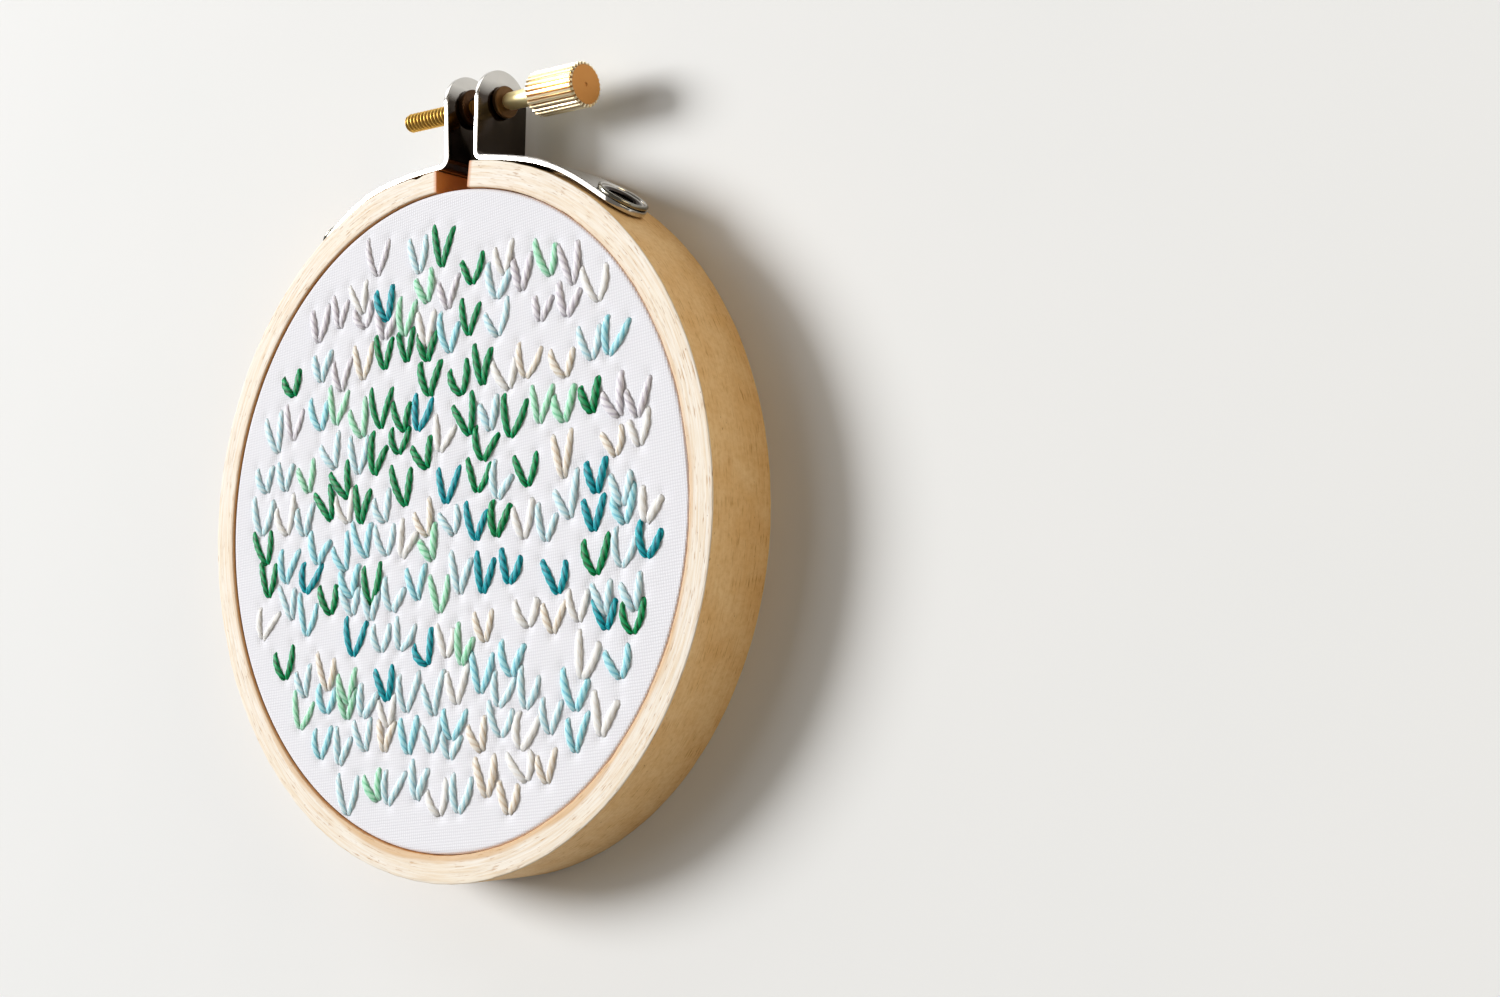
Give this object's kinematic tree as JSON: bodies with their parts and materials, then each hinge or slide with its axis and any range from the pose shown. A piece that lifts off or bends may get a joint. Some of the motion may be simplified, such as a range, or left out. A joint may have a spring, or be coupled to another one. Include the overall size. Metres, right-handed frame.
{
  "type": "embroidered cloth in a wooden embroidery hoop",
  "caption": "Small split wooden hoop with a clamp screw, holding a stretched round of white cloth covered in short V stitches.",
  "frame": {"origin": "under the middle of the whole piece, clamp included, on the surface that its back lies on", "axes": "+Z out of the cloth's face, +Y from the hoop's centre to the clamp screw at the top of the work, +X to the right as the face is looked at"},
  "size_m": [0.086, 0.0976, 0.01],
  "materials": {
    "beech": "bare sanded wood, pale on the face and warmer on the side",
    "inner_beech": "bare sanded wood",
    "white_cotton": "plain-weave white cotton",
    "nickel_steel": "bright plated steel",
    "brass": "bright turned brass"
  },
  "bodies": {
    "hoop": {"outer_hoop": "beech", "inner_hoop": "inner_beech", "cloth": "white_cotton", "bracket_left": "nickel_steel", "bracket_right": "nickel_steel", "eyelet_left": "nickel_steel", "eyelet_right": "nickel_steel", "nut": "brass"},
    "screw": {"screw": "brass"}
  },
  "joints": [
    {"name": "screw_turn", "type": "hinge", "parent": "hoop", "child": "screw", "pos_m": [0, 0.0448, 0.0058], "axis": [0.9998, 0.0192, 0], "continuous": true}
  ]
}
